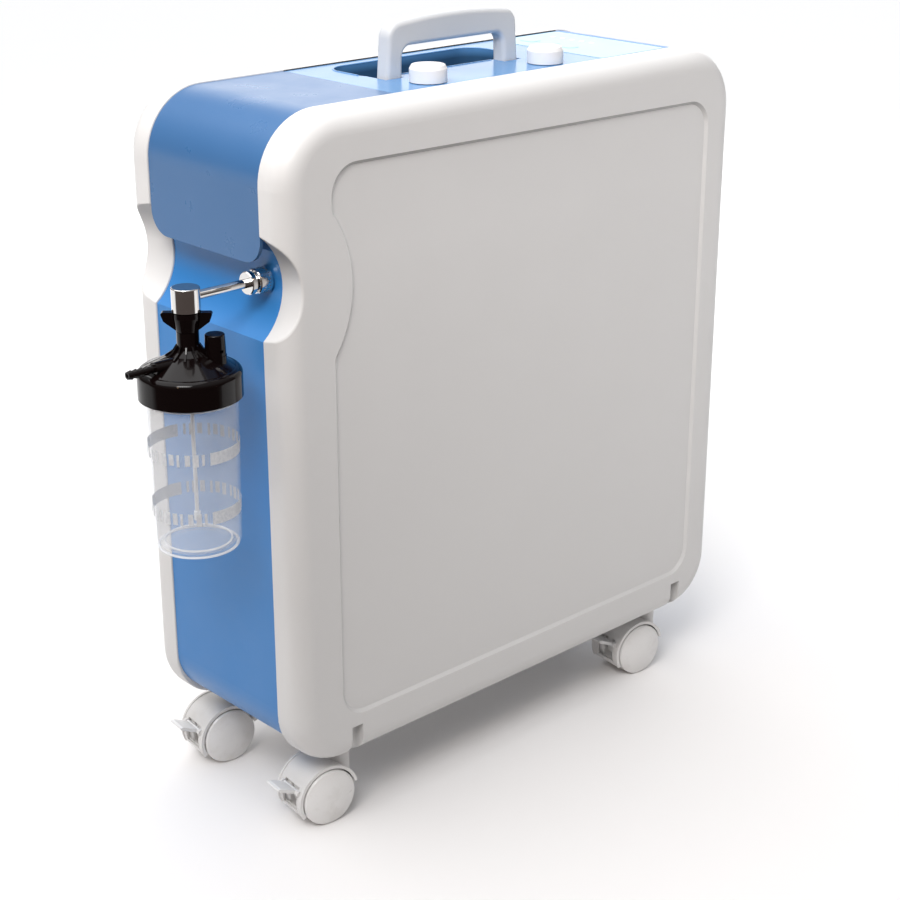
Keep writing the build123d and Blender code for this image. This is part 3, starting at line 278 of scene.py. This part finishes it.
keep("board_green", build_board_material())
keep("filter_foam", build_foam_material())
keep("jar_clear", build_clear_material("jar_clear", (0.95, 0.97, 1.0), (0.12, 0.22), 0.16))
keep("tube_clear", build_clear_material("tube_clear", (0.97, 0.98, 1.0), (0.20, 0.30), 0.72))

for entry in frame["record"]["subparts"]:
    shown = NODES[entry["node"]]
    shown.data.materials.clear()
    shown.data.materials.append(MATERIALS[entry["material_slot"]])


# ---- pieces added to the assembly: jar print and rings, lid ribs, pocket bead, a dark strip of painted shade in the plate's gap, keys and lamps ----
BOTTLE = Vector((52.0, -258.5, 0.0))
JAR_LOW = (285.0, 33.5)
JAR_HIGH = (400.5, 35.8)
PRINT_STANDOFF = 0.12
PRINT_THICKNESS = 0.10
VIEW_RIGHT = math.degrees(math.atan2(0.730, 0.683))


def jar_radius(height):
    share = (height - JAR_LOW[0]) / (JAR_HIGH[0] - JAR_LOW[0])
    return JAR_LOW[1] + share * (JAR_HIGH[1] - JAR_LOW[1])


def add_object(name, mesh, body, slot, material=None):
    """Put a mesh, drawn in millimetres, into the scene on a body."""
    mesh.transform(Matrix.Scale(MM, 4))
    made = bpy.data.objects.new(name, mesh)
    bpy.context.scene.collection.objects.link(made)
    made.data.materials.append(material or MATERIALS[slot])
    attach(made, body)


def finish_piece(shape, name, body, slot, material=None):
    """Turn a drawn shape into a piece of the scene."""
    bmesh.ops.recalc_face_normals(shape, faces=shape.faces)
    mesh = bpy.data.meshes.new(name)
    shape.to_mesh(mesh)
    shape.free()
    add_object(name, mesh, body, slot, material)


def add_print_patch(shape, low, high, start, end):
    """Add a thin printed patch to a mesh, following the jar's wall between two heights and two angles."""
    steps = max(1, math.ceil(abs(end - start) / 4.0))
    rings = []
    for step in range(steps + 1):
        turn = math.radians(start + (end - start) * step / steps)
        ring = []
        for height, lift in ((low, 0.0), (high, 0.0), (high, PRINT_THICKNESS), (low, PRINT_THICKNESS)):
            reach = jar_radius(height) + PRINT_STANDOFF + lift
            x = BOTTLE.x + reach * math.cos(turn)
            y = BOTTLE.y + reach * math.sin(turn)
            ring.append(shape.verts.new((x, y, height)))
        rings.append(ring)
    for before, after in zip(rings, rings[1:]):
        for corner in range(4):
            following = (corner + 1) % 4
            shape.faces.new((before[corner], before[following], after[following], after[corner]))
    shape.faces.new(tuple(reversed(rings[0])))
    shape.faces.new(tuple(rings[-1]))


def build_print_material():
    """White ink, a little thin in places."""
    m = Maker("print_white")
    thin = m.span(m.noise(2.2, 4), 0.35, 0.65, 0.0, 1.0)
    m.colour(m.mix(thin, (0.72, 0.74, 0.78), (0.90, 0.91, 0.93)))
    m.roughness(m.span(m.noise(6, 3), 0.3, 0.7, 0.40, 0.55))
    m.normal(m.bump(m.noise(0.5, 2), 0.01))
    m.set(Alpha=0.72)
    return m.material


PRINT = build_print_material()
BAND_HEIGHTS = ((307.5, 318.0), (356.0, 366.0))
STRIPE_START = -62.0
STRIPE_SWEEP = 60.0
MARK_COUNT = 11
FIRST_MARK = 10.5
MARK_PITCH = 10.4
WIDE_MARK = 6.4
NARROW_MARK = 3.4
for band, (low, high) in enumerate(BAND_HEIGHTS):
    ink = bmesh.new()
    for half in (0.0, 180.0):
        start = VIEW_RIGHT + STRIPE_START + half
        add_print_patch(ink, low, high, start, start + STRIPE_SWEEP)
        for mark in range(MARK_COUNT):
            mark_start = start - FIRST_MARK - MARK_PITCH * mark
            width = WIDE_MARK if mark % 3 else NARROW_MARK
            bottom = low + (0.0 if mark % 2 else 0.8)
            add_print_patch(ink, bottom, high - 0.4, mark_start, mark_start + width)
    finish_piece(ink, f"level_band_{band}", "jar", "jar_clear", PRINT)

LID_RIBS = 12
RIB_THICKNESS = 1.3
FIRST_RIB_TURN = 15.0
RIB_PROFILE = (
    (8.0, 435.0), (8.0, 442.0), (9.4, 441.2), (12.0, 437.0), (17.6, 433.2), (18.4, 430.6), (13.0, 431.0),
)


def add_prism(shape, profile, place):
    """Add a prism: a flat profile carried to both sides, with its rim set in a little for a soft edge."""
    rings = []
    for across, inset in ((-0.5, 0.12), (-0.38, 0.0), (0.38, 0.0), (0.5, 0.12)):
        middle = Vector((sum(p[0] for p in profile), sum(p[1] for p in profile))) / len(profile)
        ring = []
        for point in profile:
            flat = Vector(point)
            flat += (middle - flat).normalized() * inset
            ring.append(shape.verts.new(place(flat.x, across, flat.y)))
        rings.append(ring)
    count = len(profile)
    for before, after in zip(rings, rings[1:]):
        for corner in range(count):
            following = (corner + 1) % count
            shape.faces.new((before[corner], before[following], after[following], after[corner]))
    shape.faces.new(tuple(reversed(rings[0])))
    shape.faces.new(tuple(rings[-1]))


ribs = bmesh.new()
for rib in range(LID_RIBS):
    turn = math.radians(FIRST_RIB_TURN + 360.0 * rib / LID_RIBS)

    def place_rib(reach, across, height, turn=turn):
        side = across * RIB_THICKNESS
        x = BOTTLE.x + reach * math.cos(turn) - side * math.sin(turn)
        y = BOTTLE.y + reach * math.sin(turn) + side * math.cos(turn)
        return (x, y, height)

    add_prism(ribs, RIB_PROFILE, place_rib)
finish_piece(ribs, "lid_ribs", "casing", "cap_black")

# Thick rings of the jar's own plastic at its mouth and foot, milkier than its thin wall.
RING_POINTS = 8
RING_STEPS = 72
# Each ring: middle reach and height, half its width, half its height.
JAR_RINGS = ((30.6, 280.0, 1.3, 0.9), (26.0, 283.4, 0.9, 0.9), (34.9, 399.2, 1.1, 1.3))


def add_ring(shape, reach, height, across, tall):
    """Add a ring about the bottle's axis with an oval section."""
    rings = []
    for step in range(RING_STEPS):
        turn = 2 * math.pi * step / RING_STEPS
        ring = []
        for point in range(RING_POINTS):
            lean = 2 * math.pi * point / RING_POINTS
            out = reach + across * math.cos(lean)
            up = height + tall * math.sin(lean)
            x = BOTTLE.x + out * math.cos(turn)
            y = BOTTLE.y + out * math.sin(turn)
            ring.append(shape.verts.new((x, y, up)))
        rings.append(ring)
    for step, before in enumerate(rings):
        after = rings[(step + 1) % RING_STEPS]
        for point in range(RING_POINTS):
            following = (point + 1) % RING_POINTS
            shape.faces.new((before[point], before[following], after[following], after[point]))


milky = build_clear_material("jar_milky", (0.97, 0.98, 1.0), (0.16, 0.26), 0.55).material
jar_rings = bmesh.new()
for ring_shape in JAR_RINGS:
    add_ring(jar_rings, *ring_shape)
finish_piece(jar_rings, "jar_rings", "jar", "jar_clear", milky)

# A rounded bead runs round the handle pocket, broken where the handle's legs stand.
FRONT_Y = -203.5
PLATE_TOP = 605.7
BEAD_PROFILE = ((-0.9, -0.3), (-0.8, 0.25), (-0.35, 0.6), (0.35, 0.6), (0.8, 0.25), (0.9, -0.3))
BEAD_CORNER_X = -36.5
BEAD_CORNER_YS = (190.0, 320.0)  # the corners' centres, measured back from the casing's front
BEAD_CORNER_REACH = 20.6
BEAD_END_X = -12.0
BEAD_CORNER_STEPS = 8
NEAR_BEAD = ((7.1, 196.0), (7.1, 302.0))


def bead_path():
    """The pocket's outline round its front, far side and back."""
    front, rear = BEAD_CORNER_YS
    path = [(BEAD_END_X, front - BEAD_CORNER_REACH), (BEAD_CORNER_X, front - BEAD_CORNER_REACH)]
    for corner_y, start in ((front, 270.0), (rear, 180.0)):
        if corner_y == rear:
            path.append((BEAD_CORNER_X - BEAD_CORNER_REACH, rear))
        for step in range(1, BEAD_CORNER_STEPS + 1):
            turn = math.radians(start - 90.0 * step / BEAD_CORNER_STEPS)
            x = BEAD_CORNER_X + BEAD_CORNER_REACH * math.cos(turn)
            path.append((x, corner_y + BEAD_CORNER_REACH * math.sin(turn)))
    path.append((BEAD_END_X, rear + BEAD_CORNER_REACH))
    return path


def add_bead(shape, path):
    """Sweep the bead's profile along a flat path on the top plate."""
    rings = []
    for index, point in enumerate(path):
        before = Vector(path[max(index - 1, 0)])
        after = Vector(path[min(index + 1, len(path) - 1)])
        along = (after - before).normalized()
        across = Vector((-along.y, along.x))
        centre = Vector(point)
        ring = []
        for out, up in BEAD_PROFILE:
            spot = centre + across * out
            ring.append(shape.verts.new((spot.x, FRONT_Y + spot.y, PLATE_TOP + up)))
        rings.append(ring)
    count = len(BEAD_PROFILE)
    for before, after in zip(rings, rings[1:]):
        for corner in range(count):
            following = (corner + 1) % count
            shape.faces.new((before[corner], before[following], after[following], after[corner]))
    shape.faces.new(tuple(reversed(rings[0])))
    shape.faces.new(tuple(rings[-1]))


bead = bmesh.new()
add_bead(bead, bead_path())
add_bead(bead, NEAR_BEAD)
finish_piece(bead, "pocket_bead", "casing", "plate_blue")

# A dark strip fills the gap between the top plate and the left shell's rim: painted shade, a dark piece
# standing in for the shade in that gap.
GAP_STRIP_SECTION = (
    (-70.75, 603.6), (-69.45, 603.6), (-69.45, 606.1), (-69.75, 606.55), (-70.45, 606.55), (-70.75, 606.1),
)
GAP_STRIP_FRONT = -64.8
GAP_STRIP_REAR = 257.9
GAP_STRIP_LENGTH = GAP_STRIP_REAR - GAP_STRIP_FRONT
gap_shade_strip = bmesh.new()
add_prism(gap_shade_strip, GAP_STRIP_SECTION, lambda x, share, z: (x, GAP_STRIP_FRONT + (share + 0.5) * GAP_STRIP_LENGTH, z))
finish_piece(gap_shade_strip, "plate_gap_shade", "casing", "rubber_black")

# Domed keys and small lamps stand on the control panel.
KEY_SIDES = 28
KEY_FLOOR = 606.0
KEY_SQUARENESS = 0.6
KEY_XS = (-44.0, -20.0, 4.0)
KEY_Y = 198.0
LAMP_XS = (-44.0, -32.0, -20.0, -8.0, 4.0)
LAMP_Y = 228.0
KEY_DOME = ((1.0, -0.05), (1.0, 0.30), (0.90, 0.55), (0.66, 0.68), (0.30, 0.72))


def add_key(shape, centre, reach, tall):
    """Add a low dome with a rounded-square outline; reach is half its size along x and y."""
    rings = []
    for share, lift in KEY_DOME:
        ring = []
        for step in range(KEY_SIDES):
            turn = 2 * math.pi * step / KEY_SIDES
            c, s = math.cos(turn), math.sin(turn)
            x = centre[0] + reach[0] * share * math.copysign(abs(c) ** KEY_SQUARENESS, c)
            y = centre[1] + reach[1] * share * math.copysign(abs(s) ** KEY_SQUARENESS, s)
            ring.append(shape.verts.new((x, y, KEY_FLOOR + lift * tall)))
        rings.append(ring)
    for before, after in zip(rings, rings[1:]):
        for step in range(KEY_SIDES):
            following = (step + 1) % KEY_SIDES
            shape.faces.new((before[step], before[following], after[following], after[step]))
    shape.faces.new(tuple(reversed(rings[0])))
    shape.faces.new(tuple(rings[-1]))


keys = bmesh.new()
for key_x in KEY_XS:
    add_key(keys, (key_x, KEY_Y), (9.0, 7.0), 1.0)
finish_piece(keys, "panel_keys", "casing", "membrane")
lamps = bmesh.new()
for lamp_x in LAMP_XS:
    add_key(lamps, (lamp_x, LAMP_Y), (2.2, 2.2), 0.8)
finish_piece(lamps, "panel_lamps", "casing", "knob_white")

# ---- camera, light and stage ----
camera = bpy.data.objects.new("camera", bpy.data.cameras.new("camera"))
bpy.context.scene.collection.objects.link(camera)
camera.data.sensor_width = SENSOR_WIDTH
camera.data.lens = CAMERA_LENS
camera.location = CAMERA_PLACE
camera.rotation_euler = Vector(CAMERA_FORWARD).to_track_quat("-Z", "Y").to_euler()
bpy.context.scene.camera = camera


def add_area_light(name, place, target, size, power, colour=(1.0, 1.0, 1.0), spread=180.0):
    lamp = bpy.data.lights.new(name, "AREA")
    lamp.spread = math.radians(spread)
    lamp.shape = "RECTANGLE"
    lamp.size, lamp.size_y = size
    lamp.energy = power
    lamp.color = colour
    holder = bpy.data.objects.new(name, lamp)
    bpy.context.scene.collection.objects.link(holder)
    holder.location = place
    aim = Vector(target) - Vector(place)
    holder.rotation_euler = aim.to_track_quat("-Z", "Y").to_euler()


sun = bpy.data.lights.new("overhead", "SUN")
sun.energy = 1.95
sun.angle = math.radians(75.0)
sun_holder = bpy.data.objects.new("overhead", sun)
bpy.context.scene.collection.objects.link(sun_holder)
sun_holder.rotation_euler = Vector((0.22, 0.30, -1.0)).to_track_quat("-Z", "Y").to_euler()
add_area_light("back", (-1.75, 1.75, 1.25), (0.0, 0.05, 0.55), (3.0, 1.5), 22.0)
add_area_light("front_key", (1.10, -1.55, 2.20), (0.05, 0.0, 0.62), (1.1, 0.8), 4.2, (1.0, 0.99, 0.98), 55.0)
add_area_light("lid_glint", (0.75, -1.6, 1.15), (0.05, -0.26, 0.42), (0.10, 0.06), 1.2, (1.0, 0.62, 0.35))

# The studio is dark near the horizon, so that polished and black parts have something to mirror.
world = bpy.data.worlds.new("studio")
world.use_nodes = True
bpy.context.scene.world = world
background = world.node_tree.nodes["Background"]
direction = world.node_tree.nodes.new("ShaderNodeTexCoord")
height = world.node_tree.nodes.new("ShaderNodeSeparateXYZ")
walls = world.node_tree.nodes.new("ShaderNodeValToRGB")
world.node_tree.links.new(direction.outputs["Generated"], height.inputs["Vector"])
world.node_tree.links.new(height.outputs["Z"], walls.inputs["Fac"])
world.node_tree.links.new(walls.outputs["Color"], background.inputs["Color"])
walls.color_ramp.elements[0].position = 0.10
walls.color_ramp.elements[0].color = (0.20, 0.165, 0.145, 1.0)
walls.color_ramp.elements[1].position = 0.75
walls.color_ramp.elements[1].color = (0.95, 0.97, 1.0, 1.0)
background.inputs["Strength"].default_value = 0.55
bpy.context.scene.view_settings.view_transform = "Standard"

floor_mesh = bpy.data.meshes.new("floor")
corners = [(x * FLOOR_HALF, y * FLOOR_HALF, 0.0) for x, y in ((-1, -1), (1, -1), (1, 1), (-1, 1))]
floor_mesh.from_pydata(corners, [], [(0, 1, 2, 3)])
floor = bpy.data.objects.new("floor", floor_mesh)
bpy.context.scene.collection.objects.link(floor)
floor_paint = Maker("floor_white")
# Painted shadow: the floor is a speckled grey near the casing and fades to white farther out, deepening the
# shadow round it.
nearby = floor_paint.add("ShaderNodeVectorMath", operation="LENGTH")
floor_paint.link(floor_paint.place, nearby.inputs[0])
painted_shadow_fade = floor_paint.span(nearby.outputs["Value"], PAINTED_SHADOW_NEAR, PAINTED_SHADOW_FAR, 0.0, 1.0)
painted_shadow_grey = floor_paint.mix(floor_paint.noise(400, 2), (0.82, 0.805, 0.80), (0.84, 0.825, 0.82))
floor_with_painted_shadow = floor_paint.mix(painted_shadow_fade, painted_shadow_grey, (1.0, 1.0, 1.0))
# The studio floor ends in front of the paper sweep, which keeps light off the casing's foot.
toward = floor_paint.add("ShaderNodeVectorMath", operation="DOT_PRODUCT")
floor_paint.link(floor_paint.place, toward.inputs[0])
toward.inputs[1].default_value = SWEEP_DIRECTION
sweep_end = floor_paint.span(toward.outputs["Value"], SWEEP_START, SWEEP_END, 0.0, 1.0)
floor_paint.colour(floor_paint.mix(sweep_end, floor_with_painted_shadow, (0.05, 0.035, 0.03)))
floor_paint.set(Roughness=0.9)
floor_mesh.materials.append(floor_paint.material)
